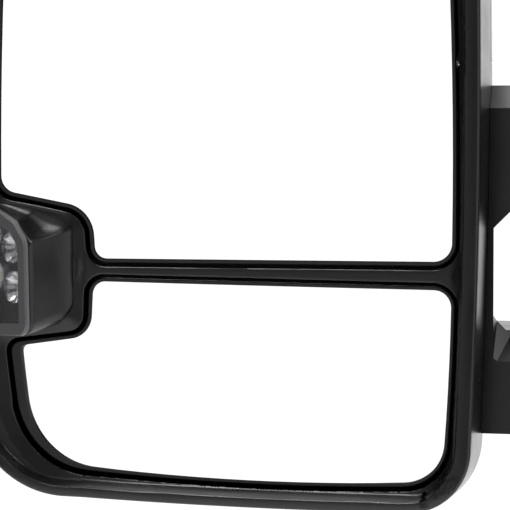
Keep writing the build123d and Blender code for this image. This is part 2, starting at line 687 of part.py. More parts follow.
with BuildPart() as actuator_cover:
    add(actuator_block(ACTUATOR_FRONT + ACTUATOR_LID, ACTUATOR_LID, 0))
    for direction in (TILT_JACK, PAN_JACK):
        jack_x = UPPER_PIVOT[0] + JACK_ARM * direction[0]
        jack_z = UPPER_PIVOT[1] + JACK_ARM * direction[1]
        with BuildSketch(head_plane(ACTUATOR_FRONT + ACTUATOR_LID)):
            with Locations((jack_x, jack_z)):
                Circle(JACK_STEM_R + JACK_CLEAR)
        extrude(amount=ACTUATOR_LID, mode=Mode.SUBTRACT)
    add(pivot_ears(UPPER_PIVOT, ACTUATOR_FRONT + EAR_ROOT, "x"))
save(actuator_cover, "actuator_cover")

for name, (motor_x, motor_z) in zip(("tilt_motor", "pan_motor"), MOTOR_PLACES):
    with BuildPart() as motor:
        with BuildSketch(cross_plane(HEAD_X + motor_x - MOTOR_L / 2)):
            with Locations((GLASS_Y + MOTOR_DEPTH, HEAD_Z + motor_z)):
                Circle(MOTOR_R)
        extrude(amount=MOTOR_L)
        with BuildSketch(cross_plane(HEAD_X + motor_x + MOTOR_L / 2)):
            with Locations((GLASS_Y + MOTOR_DEPTH, HEAD_Z + motor_z)):
                Circle(SHAFT_R)
        extrude(amount=SHAFT_L)
    save(motor, name)

# ---------------------------------------------------------------- head frame, guides and lower pivot
ARM_HEIGHTS = (ARM_UP_Z, ARM_LOW_Z)
with BuildPart() as head_frame:
    with BuildSketch(head_plane(FRAME_Y + FRAME_T - GLASS_Y)):
        middle = ((FRAME_OUTER + HOUSING_OUT) / 2 - HEAD_X, (FRAME_LOW + FRAME_HIGH) / 2 - HEAD_Z)
        with Locations(middle):
            RectangleRounded(HOUSING_OUT - FRAME_OUTER, FRAME_HIGH - FRAME_LOW, FRAME_CORNER)
    extrude(amount=FRAME_T)
    for arm_z in ARM_HEIGHTS:
        housing = tube_section(GUIDE_CLEAR + BUSH_WALL + HOUSING_WALL)
        add(bar_between(HOUSING_IN, HOUSING_OUT, arm_z, housing))
    for arm_z in ARM_HEIGHTS:
        bore = tube_section(GUIDE_CLEAR + BUSH_WALL)
        add(bar_between(HOUSING_IN - 1, HOUSING_OUT + 1, arm_z, bore), mode=Mode.SUBTRACT)
    for post_x, post_z in CASE_POSTS:
        with BuildSketch(head_plane(FRAME_Y - GLASS_Y)):
            with Locations((post_x - HEAD_X, post_z - HEAD_Z)):
                Circle(FRAME_POST_R)
        extrude(amount=FRAME_Y - GLASS_Y - POST_END)
        with BuildSketch(head_plane(POST_END + 1.0)):
            with Locations((post_x - HEAD_X, post_z - HEAD_Z)):
                Circle(CLEARANCE_R)
        extrude(amount=THROUGH, mode=Mode.SUBTRACT)
    with BuildSketch(head_plane(ACTUATOR_BACK)):
        with Locations(*FOOT_SCREWS):
            Circle(CLEARANCE_R)
    extrude(amount=ACTUATOR_BACK, mode=Mode.SUBTRACT)
save(head_frame, "head_frame")

with BuildPart() as case_screws:
    for post_x, post_z in CASE_POSTS:
        seat = Plane(origin=(post_x, FRAME_Y, post_z), x_dir=(1, 0, 0), z_dir=(0, -1, 0))
        shank = POST_END + GLASS_Y - FRAME_Y + SCREW_BITE
        add(seat.location * screw(CASE_HEAD_R, CASE_HEAD_H, SCREW_R, shank))
save(case_screws, "case_screws")

with BuildPart() as actuator_screws:
    for foot_x, foot_z in FOOT_SCREWS:
        place = (HEAD_X + foot_x, FRAME_Y - FOOT_T, HEAD_Z + foot_z)
        seat = Plane(origin=place, x_dir=(1, 0, 0), z_dir=(0, -1, 0))
        add(seat.location * screw(FOOT_HEAD_R, FOOT_HEAD_H, SCREW_R, FOOT_SCREW_L))
save(actuator_screws, "actuator_screws")

for label, arm_z in zip(("upper", "lower"), ARM_HEIGHTS):
    with BuildPart() as guide_bushes:
        for start in (HOUSING_IN, HOUSING_OUT - BUSH_L):
            add(bar_between(start, start + BUSH_L, arm_z, tube_section(GUIDE_CLEAR + BUSH_WALL)))
            bore = bar_between(start - 1, start + BUSH_L + 1, arm_z, tube_section(GUIDE_CLEAR))
            add(bore, mode=Mode.SUBTRACT)
    save(guide_bushes, f"{label}_guide_bushes")

BRACKET_SIZE, BRACKET_CORNER, BRACKET_T = (34.0, 24.0), 4.0, 3.0
with BuildPart() as lower_pivot_bracket:
    with BuildSketch(head_plane(FRAME_Y - GLASS_Y)):
        with Locations(LOWER_PIVOT):
            RectangleRounded(*BRACKET_SIZE, BRACKET_CORNER)
    extrude(amount=BRACKET_T)
    add(pivot_ears(LOWER_PIVOT, FRAME_Y - GLASS_Y - BRACKET_T + EAR_ROOT, "x"))
save(lower_pivot_bracket, "lower_pivot_bracket")

# ---------------------------------------------------------------- arms
TUBE_SCREW_R, TUBE_SCREW_HOLE_R, TUBE_SCREW_TAP_R, TUBE_SCREW_L = 2.45, 3.2, 2.5, 16.0
TUBE_HEAD_R, TUBE_HEAD_H = 4.6, 2.6
TUBE_SCREW_PLACES = [(TUBE_OUT - step, arm_z) for step in TUBE_SCREWS for arm_z in ARM_HEIGHTS]
PLUG_L, PLUG_CAP_T, PLUG_CAP_INSET = 12.0, 2.5, 0.3
drill_plane = Plane(origin=(0, TUBE_Y / 2 + 6.0, 0), x_dir=(1, 0, 0), z_dir=(0, -1, 0))
for label, arm_z in zip(("upper", "lower"), ARM_HEIGHTS):
    with BuildPart() as arm_tube:
        add(bar_between(TUBE_IN, TUBE_OUT, arm_z, tube_section()))
        add(bar_between(TUBE_IN - 1, TUBE_OUT + 1, arm_z, tube_section(-TUBE_WALL)), mode=Mode.SUBTRACT)
        with BuildSketch(drill_plane):
            with Locations(*TUBE_SCREW_PLACES):
                Circle(TUBE_SCREW_HOLE_R)
        extrude(amount=TUBE_Y / 2, mode=Mode.SUBTRACT)
    save(arm_tube, f"{label}_arm_tube")

with BuildPart() as arm_end_plugs:
    for arm_z in ARM_HEIGHTS:
        add(bar_between(TUBE_IN, TUBE_IN + PLUG_L, arm_z, tube_section(-TUBE_WALL - JOINT_GAP)))
        add(bar_between(TUBE_IN - PLUG_CAP_T, TUBE_IN, arm_z, tube_section(-PLUG_CAP_INSET)))
save(arm_end_plugs, "arm_end_plugs")

SOCKET_PLATE_W, SOCKET_PLATE_MORE, SOCKET_PLATE_CORNER = 34.0, 50.0, 8.0
WEB_W, SPIGOT_DRILL = 26.0, 10.0
BUSH_T, SPRING_CUP_WALL = 3.0, 3.5
RELIEF_LOW, RELIEF_HIGH, RELIEF_WALL = -12.0, 0.0, 5.0
with BuildPart() as swing_bracket:
    with BuildSketch(Plane.XY.offset(HUB_LOW)):
        with Locations((PIVOT_X, 0)):
            Circle(HUB_R)
    extrude(amount=HUB_HIGH - HUB_LOW)
    with BuildSketch(cross_plane(TUBE_OUT)):
        with Locations((0, (ARM_UP_Z + ARM_LOW_Z) / 2)):
            RectangleRounded(SOCKET_PLATE_W, ARM_UP_Z - ARM_LOW_Z + SOCKET_PLATE_MORE, SOCKET_PLATE_CORNER)
    extrude(amount=SOCKET_PLATE_T)
    with BuildSketch(Plane.XY.offset(HUB_LOW)):
        with Locations(((PIVOT_X + TUBE_OUT) / 2, 0)):
            Rectangle(PIVOT_X - TUBE_OUT, WEB_W)
    extrude(amount=HUB_HIGH - HUB_LOW)
    for arm_z in ARM_HEIGHTS:
        add(bar_between(TUBE_OUT - SPIGOT_L, TUBE_OUT, arm_z, tube_section(-TUBE_WALL - JOINT_GAP)))
    with BuildSketch(drill_plane):
        with Locations(*TUBE_SCREW_PLACES):
            Circle(TUBE_SCREW_TAP_R)
    extrude(amount=TUBE_Y / 2 + SPIGOT_DRILL, mode=Mode.SUBTRACT)
    with BuildSketch(Plane.XY.offset(HUB_LOW)):
        with Locations((PIVOT_X, 0)):
            Circle(POST_R + BUSH_T)
    extrude(amount=SPRING_FLOOR - HUB_LOW, mode=Mode.SUBTRACT)
    with BuildSketch(Plane.XY.offset(SPRING_FLOOR)):
        with Locations((PIVOT_X, 0)):
            Circle(HUB_R - SPRING_CUP_WALL)
    extrude(amount=HUB_HIGH, mode=Mode.SUBTRACT)
    # The hub is relieved between its two bushes.
    with BuildSketch(Plane.XY.offset(RELIEF_LOW)):
        with Locations((PIVOT_X, 0)):
            Circle(HUB_R - RELIEF_WALL)
    extrude(amount=RELIEF_HIGH - RELIEF_LOW, mode=Mode.SUBTRACT)
save(swing_bracket, "swing_bracket")

with BuildPart() as pivot_bushes:
    for low, high in ((HUB_LOW, RELIEF_LOW), (RELIEF_HIGH, SPRING_FLOOR)):
        with BuildSketch(Plane.XY.offset(low)):
            with Locations((PIVOT_X, 0)):
                Circle(POST_R + BUSH_T)
                Circle(POST_R + POST_CLEAR, mode=Mode.SUBTRACT)
        extrude(amount=high - low)
save(pivot_bushes, "pivot_bushes")

with BuildPart() as arm_tube_screws:
    for arm_z in ARM_HEIGHTS:
        for step in TUBE_SCREWS:
            seat = Plane(origin=(TUBE_OUT - step, TUBE_Y / 2, arm_z), x_dir=(1, 0, 0), z_dir=(0, 1, 0))
            add(seat.location * screw(TUBE_HEAD_R, TUBE_HEAD_H, TUBE_SCREW_R, TUBE_SCREW_L))
save(arm_tube_screws, "arm_tube_screws")


def bracket_cover_body(shrink):
    """Outer form of the swing bracket's cover, moved in by shrink."""
    inboard = TUBE_OUT + SOCKET_PLATE_T + COVER_WALL
    with BuildPart() as form:
        with BuildSketch(Plane.XY.offset(COVER_LOW + shrink)):
            with Locations(((COVER_END + inboard) / 2, 0)):
                Rectangle(inboard - COVER_END - 2 * shrink, 2 * (COVER_Y - shrink))
        extrude(amount=COVER_HIGH - COVER_LOW - 2 * shrink)
        with BuildSketch(Plane.XY.offset(HUB_LOW + 1 + shrink)):
            with Locations((PIVOT_X, 0)):
                Circle(COVER_R - shrink)
            with Locations(((COVER_END + PIVOT_X) / 2, 0)):
                Rectangle(PIVOT_X - COVER_END - 2 * shrink, 2 * (COVER_Y - shrink))
        extrude(amount=COVER_HIGH - HUB_LOW - 1 - 2 * shrink)
    return form.part


with BuildPart() as cover_shell:
    add(bracket_cover_body(0))
    chamfer(cover_shell.faces().sort_by(Axis.Z)[-1].edges(), COVER_CHAMFER)
    add(bracket_cover_body(COVER_WALL), mode=Mode.SUBTRACT)
    for arm_z in ARM_HEIGHTS:
        passage = bar_between(COVER_END - 5, COVER_END + 5, arm_z, tube_section(COVER_TUBE_CLEAR))
        add(passage, mode=Mode.SUBTRACT)
    # The hub and its web stand through the cover's floor.
    with BuildSketch(Plane.XY.offset(HUB_LOW)):
        with Locations((PIVOT_X, 0)):
            Circle(HUB_R + COVER_HUB_CLEAR)
        with Locations(((PIVOT_X + TUBE_OUT) / 2, 0)):
            Rectangle(PIVOT_X - TUBE_OUT, WEB_W + 2 * COVER_HUB_CLEAR)
    extrude(amount=10.0, mode=Mode.SUBTRACT)

COVER_BOX = (200.0, 100.0, 300.0)  # holds either half of the cover
for label, side in (("rear", -1), ("front", 1)):
    with BuildPart() as half:
        add(cover_shell.part)
        with Locations((PIVOT_X, side * (COVER_BOX[1] + COVER_SPLIT) / 2, 0)):
            Box(*COVER_BOX, mode=Mode.INTERSECT)
    save(half, f"bracket_cover_{label}")


# ---------------------------------------------------------------- base
def plate_outline(margin):
    """The foot's outline on the door, grown by a margin."""
    with BuildSketch() as flat:
        with Locations((0, (PLATE_LOW + PLATE_HIGH) / 2)):
            RectangleRounded(
                2 * (PLATE_Y + margin), PLATE_HIGH - PLATE_LOW + 2 * margin, PLATE_CORNER + margin
            )
    return flat.sketch


STUD_PLACES = [(STUD_PCD / 2 * cos(radians(a)), STUD_PCD / 2 * sin(radians(a))) for a in (90, 210, 330)]
GROMMET_AT, GROMMET_R, HARNESS_R = (22.0, 10.0), 9.0, 4.0
GUSSET_T = 10.0
GASKET_IN, GASKET_W, GASKET_T = 3.5, 4.0, 2.0

with BuildPart() as base_foot:
    with BuildSketch(cross_plane(PLATE_X)):
        add(plate_outline(0))
    extrude(amount=-PLATE_X)
    with BuildSketch(cross_plane(-GASKET_T)):
        add(plate_outline(-GASKET_IN))
        add(plate_outline(-GASKET_IN - GASKET_W), mode=Mode.SUBTRACT)
    extrude(amount=GASKET_T, mode=Mode.SUBTRACT)
    with BuildSketch(Plane.XY.offset(SHELF_TOP - SHELF_T)):
        with Locations((PIVOT_X, 0)):
            Circle(SHELF_R)
        with Locations(((PIVOT_X + PLATE_X) / 2, 0)):
            Rectangle(PLATE_X - PIVOT_X, 2 * SHELF_R)
    extrude(amount=SHELF_T)
    with BuildSketch(Plane(origin=(0, GUSSET_T / 2, 0), x_dir=(1, 0, 0), z_dir=(0, -1, 0))):
        with BuildLine():
            Polyline(
                (PLATE_X, SHELF_TOP - SHELF_T),
                (PIVOT_X, SHELF_TOP - SHELF_T),
                (PLATE_X, PLATE_LOW + 2),
                close=True,
            )
        make_face()
    extrude(amount=GUSSET_T)
    with BuildSketch(Plane.XY.offset(SHELF_TOP - SHELF_T - 1)):
        with Locations((PIVOT_X, 0)):
            Circle(POST_R)
    extrude(amount=SHELF_T + 2, mode=Mode.SUBTRACT)
    with BuildSketch(cross_plane(-STUD_ROOT_L)):
        with Locations(*STUD_PLACES):
            Circle(STUD_ROOT_R)
    extrude(amount=STUD_ROOT_L, mode=Mode.SUBTRACT)
    with BuildSketch(cross_plane(PLATE_X)):
        with Locations(GROMMET_AT):
            Circle(GROMMET_R)
    extrude(amount=-PLATE_X, mode=Mode.SUBTRACT)
save(base_foot, "base_foot")

with BuildPart() as base_gasket:
    with BuildSketch(cross_plane(JOINT_GAP - GASKET_T)):
        add(plate_outline(-GASKET_IN - JOINT_GAP))
        add(plate_outline(JOINT_GAP - GASKET_IN - GASKET_W), mode=Mode.SUBTRACT)
    extrude(amount=GASKET_T - JOINT_GAP)
save(base_gasket, "base_gasket")

with BuildPart() as door_studs:
    with BuildSketch(cross_plane(-STUD_ROOT_L)):
        with Locations(*STUD_PLACES):
            Circle(STUD_ROOT_R)
    extrude(amount=STUD_ROOT_L)
    with BuildSketch(cross_plane(0)):
        with Locations(*STUD_PLACES):
            Circle(STUD_R)
    extrude(amount=STUD_L)
    chamfer(door_studs.faces().filter_by(Axis.X).sort_by(Axis.X)[-3:].edges(), STUD_CHAMFER)
save(door_studs, "door_studs")

with BuildPart() as harness_grommet:
    with BuildSketch(cross_plane(PLATE_X)):
        with Locations(GROMMET_AT):
            Circle(GROMMET_R - JOINT_GAP)
            Circle(HARNESS_R, mode=Mode.SUBTRACT)
    extrude(amount=-PLATE_X)
save(harness_grommet, "harness_grommet")

POST_PAST, POST_CHAMFER, SEAT_T = 9.0, 1.0, 3.0
GROOVE_W, GROOVE_DEPTH = 2.0, 1.2
with BuildPart() as pivot_post:
    with BuildSketch(Plane.XY.offset(SHELF_TOP - SHELF_T)):
        with Locations((PIVOT_X, 0)):
            Circle(POST_R)
    extrude(amount=SPRING_TOP + POST_PAST - SHELF_TOP + SHELF_T)
    chamfer(pivot_post.faces().sort_by(Axis.Z)[-1].edges(), POST_CHAMFER)
    with BuildSketch(Plane.XY.offset(SPRING_TOP + SEAT_T)):
        with Locations((PIVOT_X, 0)):
            Circle(POST_R + 1)
            Circle(POST_R - GROOVE_DEPTH, mode=Mode.SUBTRACT)
    extrude(amount=GROOVE_W, mode=Mode.SUBTRACT)
save(pivot_post, "pivot_post")

with BuildPart() as thrust_washer:
    with BuildSketch(Plane.XY.offset(SHELF_TOP)):
        with Locations((PIVOT_X, 0)):
            Circle(HUB_R - 1)
            Circle(POST_R + 4 * POST_CLEAR, mode=Mode.SUBTRACT)
    extrude(amount=HUB_LOW - SHELF_TOP - 2 * JOINT_GAP)
save(thrust_washer, "thrust_washer")

SPRING_WIRE, SPRING_R, SPRING_TURNS, SPRING_GAP = 3.0, 12.4, 5, 0.15
with BuildPart() as fold_spring:
    coil_low = SPRING_FLOOR + SPRING_WIRE / 2 + SPRING_GAP
    coil_rise = SPRING_TOP - SPRING_FLOOR - SPRING_WIRE - 2 * SPRING_GAP
    with BuildLine():
        coil = Helix(coil_rise / SPRING_TURNS, coil_rise, SPRING_R, center=(PIVOT_X, 0, coil_low))
    with BuildSketch(Plane(origin=coil @ 0, z_dir=coil % 0)):
        Circle(SPRING_WIRE / 2)
    sweep(is_frenet=True)
save(fold_spring, "fold_spring")

with BuildPart() as spring_seat:
    with BuildSketch(Plane.XY.offset(SPRING_TOP)):
        with Locations((PIVOT_X, 0)):
            Circle(SPRING_R + SPRING_WIRE)
            Circle(POST_R + 2 * POST_CLEAR, mode=Mode.SUBTRACT)
    extrude(amount=SEAT_T)
save(spring_seat, "spring_seat")

RING_W, RING_GAP, RING_OPENING = 3.0, 0.1, (8.0, 6.0)
with BuildPart() as retaining_ring:
    with BuildSketch(Plane.XY.offset(SPRING_TOP + SEAT_T + RING_GAP)):
        with Locations((PIVOT_X, 0)):
            Circle(POST_R + RING_W)
            Circle(POST_R - GROOVE_DEPTH + RING_GAP, mode=Mode.SUBTRACT)
        with Locations((PIVOT_X + POST_R, 0)):
            Rectangle(*RING_OPENING, mode=Mode.SUBTRACT)
    extrude(amount=GROOVE_W - 3 * RING_GAP)
save(retaining_ring, "retaining_ring")

BASE_COVER_X, BASE_COVER_WALL, BASE_COVER_CHAMFER = -17.0, 2.2, 2.0
BASE_COVER_GAP, DOOR_GAP = 0.4, 0.6
with BuildPart() as base_cover:
    with BuildSketch(cross_plane(BASE_COVER_X)):
        add(plate_outline(BASE_COVER_GAP + BASE_COVER_WALL))
    extrude(amount=-DOOR_GAP - BASE_COVER_X)
    chamfer(base_cover.faces().sort_by(Axis.X)[0].edges(), BASE_COVER_CHAMFER)
    with BuildSketch(cross_plane(PLATE_X - BASE_COVER_GAP)):
        add(plate_outline(BASE_COVER_GAP))
    extrude(amount=THROUGH, mode=Mode.SUBTRACT)
    with BuildSketch(cross_plane(BASE_COVER_X - 1)):
        with Locations((0, SHELF_TOP - SHELF_T / 2)):
            Rectangle(2 * (SHELF_R + BASE_COVER_GAP), SHELF_T + 2 * BASE_COVER_GAP)
        with Locations((0, (SHELF_TOP - SHELF_T + PLATE_LOW) / 2)):
            Rectangle(GUSSET_T + 2 * BASE_COVER_GAP, SHELF_TOP - SHELF_T - PLATE_LOW)
    extrude(amount=10.0, mode=Mode.SUBTRACT)
save(base_cover, "base_cover")
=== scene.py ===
"""Looks for the left-hand towing mirror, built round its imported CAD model. Lengths are in metres."""

import json
from math import atan2, cos, pi, radians, sin, sqrt

import bpy
import numpy as np
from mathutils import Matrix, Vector, geometry, kdtree


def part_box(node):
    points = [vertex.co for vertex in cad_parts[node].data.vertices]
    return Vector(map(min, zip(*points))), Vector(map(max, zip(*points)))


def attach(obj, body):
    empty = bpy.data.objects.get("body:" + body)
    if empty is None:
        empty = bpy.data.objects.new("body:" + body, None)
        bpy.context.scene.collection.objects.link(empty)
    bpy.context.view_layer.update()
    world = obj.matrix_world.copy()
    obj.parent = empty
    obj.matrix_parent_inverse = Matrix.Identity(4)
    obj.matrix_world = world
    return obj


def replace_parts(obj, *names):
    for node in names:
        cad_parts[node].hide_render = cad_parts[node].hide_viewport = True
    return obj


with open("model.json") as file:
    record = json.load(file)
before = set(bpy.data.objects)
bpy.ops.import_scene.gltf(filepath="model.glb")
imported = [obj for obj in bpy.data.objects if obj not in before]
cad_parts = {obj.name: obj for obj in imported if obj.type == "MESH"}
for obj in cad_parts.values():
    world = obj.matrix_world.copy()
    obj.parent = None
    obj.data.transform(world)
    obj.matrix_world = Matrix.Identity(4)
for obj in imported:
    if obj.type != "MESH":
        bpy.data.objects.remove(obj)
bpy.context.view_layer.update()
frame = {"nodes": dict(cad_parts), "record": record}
MM = 0.001

# ---------------------------------------------------------------- places taken from the frame
pane_low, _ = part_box("upper_glass_pane")
GLASS_Y = pane_low.y
HEAD_X, HEAD_Z = -0.277, 0.040  # middle of the head's outline


# ---------------------------------------------------------------- camera
CAMERA_AZIMUTH, CAMERA_ELEVATION = radians(14.0), radians(3.0)
CAMERA_DISTANCE, CAMERA_SPAN = 1.2, 0.2257
CAMERA_ASIDE, CAMERA_BELOW = 0.0152, 0.0369  # where it looks, from the head's middle
SENSOR_WIDTH = 36.0


def aim(obj, target):
    """Turns an object so that its -Z axis points at the target."""
    obj.rotation_mode = "QUATERNION"
    obj.rotation_quaternion = (Vector(target) - obj.location).to_track_quat("-Z", "Y")


def make_camera():
    """Camera behind the vehicle, on the driver's side of the mirror, close in on the pane side."""
    data = bpy.data.cameras.new("camera")
    camera = bpy.data.objects.new("camera", data)
    bpy.context.collection.objects.link(camera)
    target = Vector((HEAD_X + CAMERA_ASIDE, GLASS_Y, HEAD_Z - CAMERA_BELOW))
    back = Vector(
        (
            sin(CAMERA_AZIMUTH) * cos(CAMERA_ELEVATION),
            -cos(CAMERA_AZIMUTH) * cos(CAMERA_ELEVATION),
            sin(CAMERA_ELEVATION),
        )
    )
    camera.location = target + back * CAMERA_DISTANCE
    aim(camera, target)
    data.sensor_width = SENSOR_WIDTH
    data.lens = SENSOR_WIDTH * CAMERA_DISTANCE / CAMERA_SPAN
    data.clip_start, data.clip_end = 0.01, 100.0
    bpy.context.scene.camera = camera


# ---------------------------------------------------------------- light
# Soft boxes round the mirror: direction, inner and outer half angles in degrees, and strength.
SKY_BASE, STUDIO_WHITE = 0.04, 1.12
FIRST_REFLECTION = 2.5  # rays straight from the lens, and those that met one pane, are below this depth
SOFT_BOXES = (
    ((0.24, 0.97, 0.0), (20, 36), 1.65),
    ((-0.20, -0.03, 0.98), (9, 18), 15.0),
    ((-0.24, -0.97, -0.05), (10, 26), 0.55),
    ((0.55, 0.12, 0.82), (8, 16), 18.0),
    ((1.0, -0.30, 0.0), (20, 40), 0.9),
    ((-0.28, -0.70, 0.66), (9, 20), 1.2),
    ((0.62, -0.78, 0.05), (10, 26), 0.7),
)


def soft_light(nodes, links):
    """Strength of the light from each direction: a faint base and the soft boxes."""
    coords = nodes.new("ShaderNodeTexCoord")
    total = None
    for toward, (inside, outside), strength in SOFT_BOXES:
        dot = nodes.new("ShaderNodeVectorMath")
        dot.operation = "DOT_PRODUCT"
        dot.inputs[1].default_value = Vector(toward).normalized()
        links.new(coords.outputs["Generated"], dot.inputs[0])
        ramp = nodes.new("ShaderNodeMapRange")
        ramp.interpolation_type = "SMOOTHSTEP"
        ramp.inputs["From Min"].default_value = cos(radians(outside))
        ramp.inputs["From Max"].default_value = cos(radians(inside))
        ramp.inputs["To Min"].default_value = 0.0
        ramp.inputs["To Max"].default_value = strength
        links.new(dot.outputs["Value"], ramp.inputs["Value"])
        plus = nodes.new("ShaderNodeMath")
        plus.operation = "ADD"
        plus.inputs[0].default_value = SKY_BASE
        if total:
            links.new(total, plus.inputs[0])
        links.new(ramp.outputs[0], plus.inputs[1])
        total = plus.outputs[0]
    return total


def make_world():
    """White behind the mirror and in its panes as the lens sees them; soft boxes light the rest."""
    world = bpy.data.worlds.new("studio")
    bpy.context.scene.world = world
    world.use_nodes = True
    nodes, links = world.node_tree.nodes, world.node_tree.links
    nodes.clear()
    total = soft_light(nodes, links)
    lit, white = nodes.new("ShaderNodeBackground"), nodes.new("ShaderNodeBackground")
    for background in (lit, white):
        background.inputs["Color"].default_value = (1, 1, 1, 1)
    links.new(total, lit.inputs["Strength"])
    white.inputs["Strength"].default_value = STUDIO_WHITE
    path = nodes.new("ShaderNodeLightPath")
    early, seen, sharp = (nodes.new("ShaderNodeMath") for _ in range(3))
    early.operation, seen.operation, sharp.operation = "LESS_THAN", "MULTIPLY", "MAXIMUM"
    early.inputs[1].default_value = FIRST_REFLECTION
    links.new(path.outputs["Ray Depth"], early.inputs[0])
    links.new(path.outputs["Is Singular Ray"], seen.inputs[0])
    links.new(early.outputs[0], seen.inputs[1])
    links.new(path.outputs["Is Camera Ray"], sharp.inputs[0])
    links.new(seen.outputs[0], sharp.inputs[1])
    mix, out = nodes.new("ShaderNodeMixShader"), nodes.new("ShaderNodeOutputWorld")
    links.new(sharp.outputs[0], mix.inputs["Fac"])
    links.new(lit.outputs[0], mix.inputs[1])
    links.new(white.outputs[0], mix.inputs[2])
    links.new(mix.outputs[0], out.inputs["Surface"])


FLOOR_R, FLOOR_Z, FLOOR_SIDES = 1.0, -0.45, 96


def make_floor():
    """Plain pale round floor below the mirror."""
    mesh = bpy.data.meshes.new("floor")
    angles = [2 * pi * side / FLOOR_SIDES for side in range(FLOOR_SIDES)]
    rim = [(FLOOR_R * cos(angle), FLOOR_R * sin(angle), FLOOR_Z) for angle in angles]
    mesh.from_pydata(rim, [], [tuple(range(FLOOR_SIDES))])
    floor = bpy.data.objects.new("floor", mesh)
    bpy.context.collection.objects.link(floor)
    material = bpy.data.materials.new("floor")
    material.use_nodes = True
    shader = material.node_tree.nodes["Principled BSDF"]
    shader.inputs["Base Color"].default_value = (0.8, 0.8, 0.8, 1)
    shader.inputs["Roughness"].default_value = 0.9
    mesh.materials.append(material)


# ---------------------------------------------------------------- materials
class Nodes:
    """Small helper that builds a material's node tree."""

    def __init__(self, name):
        self.material = bpy.data.materials.new(name)
        self.material.use_nodes = True
        self.nodes = self.material.node_tree.nodes
        self.links = self.material.node_tree.links
        self.shader = self.nodes["Principled BSDF"]
        self.coords = self.nodes.new("ShaderNodeTexCoord").outputs["Object"]

    def set(self, **values):
        for key, value in values.items():
            self.shader.inputs[key.replace("_", " ")].default_value = value

    def noise(self, scale, detail=2.0, roughness=0.5, stretch=None):
        node = self.nodes.new("ShaderNodeTexNoise")
        node.inputs["Scale"].default_value = scale
        node.inputs["Detail"].default_value = detail
        node.inputs["Roughness"].default_value = roughness
        source = self.coords
        if stretch:
            mapping = self.nodes.new("ShaderNodeMapping")
            mapping.inputs["Scale"].default_value = stretch
            self.links.new(source, mapping.inputs["Vector"])
            source = mapping.outputs[0]
        self.links.new(source, node.inputs["Vector"])
        return node.outputs["Fac"]

    def ramp(self, value, low, high, start=0.3, end=0.7):
        node = self.nodes.new("ShaderNodeMapRange")
        node.inputs["From Min"].default_value = start
        node.inputs["From Max"].default_value = end
        node.inputs["To Min"].default_value = low
        node.inputs["To Max"].default_value = high
        self.links.new(value, node.inputs["Value"])
        return node.outputs[0]

    def tint(self, value, low, high, start=0.3, end=0.7):
        """Colour between two; a Mix node's inputs 6 and 7 and its output 2 are the ones for colour."""
        node = self.nodes.new("ShaderNodeMix")
        node.data_type = "RGBA"
        node.inputs[6].default_value = (*low, 1)
        node.inputs[7].default_value = (*high, 1)
        self.links.new(self.ramp(value, 0.0, 1.0, start, end), node.inputs["Factor"])
        return node.outputs[2]

    def bump(self, *layers):
        """Layers are (height, strength, distance in metres)."""
        normal = None
        for height, strength, distance in layers:
            node = self.nodes.new("ShaderNodeBump")
            node.inputs["Strength"].default_value = strength
            node.inputs["Distance"].default_value = distance
            self.links.new(height, node.inputs["Height"])
            if normal:
                self.links.new(normal, node.inputs["Normal"])
            normal = node.outputs[0]
        self.links.new(normal, self.shader.inputs["Normal"])

    def link(self, value, socket):
        self.links.new(value, self.shader.inputs[socket])


def grained_plastic(name, dark, light, rough, grain=1700.0, depth=0.00004, strength=0.3):
    """Moulded plastic with a fine spark-eroded grain."""
    made = Nodes(name)
    fine = made.noise(grain, 3.0, 0.6)
    broad = made.noise(38.0, 3.0)
    made.link(made.tint(fine, dark, light), "Base Color")
    made.link(made.ramp(broad, rough - 0.05, rough + 0.05), "Roughness")
    made.set(IOR=1.5)
    made.bump((fine, strength, depth), (broad, 0.05, 0.0004))
    return made.material


def smooth_plastic(name, dark, light, rough):
    """Moulded plastic with a smooth tool face and a trace of flow marks."""
    made = Nodes(name)
    flow = made.noise(60.0, 4.0, stretch=(1.0, 1.0, 0.3))
    fine = made.noise(900.0, 2.0)
    made.link(made.tint(flow, dark, light), "Base Color")
    made.link(made.ramp(fine, rough - 0.04, rough + 0.04), "Roughness")
    made.bump((fine, 0.1, 0.00003))
    return made.material


def metal(name, dark, light, rough, brushed=(1.0, 1.0, 1.0), scale=600.0):
    """Bare or plated metal with fine tool marks."""
    made = Nodes(name)
    marks = made.noise(scale, 3.0, stretch=brushed)
    broad = made.noise(30.0, 2.0)
    made.link(made.tint(broad, dark, light), "Base Color")
    made.link(made.ramp(marks, rough - 0.08, rough + 0.08), "Roughness")
    made.set(Metallic=1.0)
    made.bump((marks, 0.15, 0.00005))
    return made.material


def mirror_glass():
    """Silvered pane: a sharp reflector with the faintest haze in its tint."""
    made = Nodes("mirror_glass")
    haze = made.noise(9.0, 2.0)
    made.link(made.tint(haze, (0.95, 0.955, 0.96), (0.975, 0.98, 0.985)), "Base Color")
    made.set(Metallic=1.0, Roughness=0.0)
    return made.material


def clear_lens():
    """Clear polycarbonate window."""
    made = Nodes("clear_lens")
    haze = made.noise(25.0, 2.0)
    made.link(made.ramp(haze, 0.02, 0.06), "Roughness")
    made.link(made.tint(haze, (0.96, 0.97, 0.98), (1.0, 1.0, 1.0)), "Base Color")
    made.set(IOR=1.49, Transmission_Weight=1.0, Alpha=0.35)
    return made.material


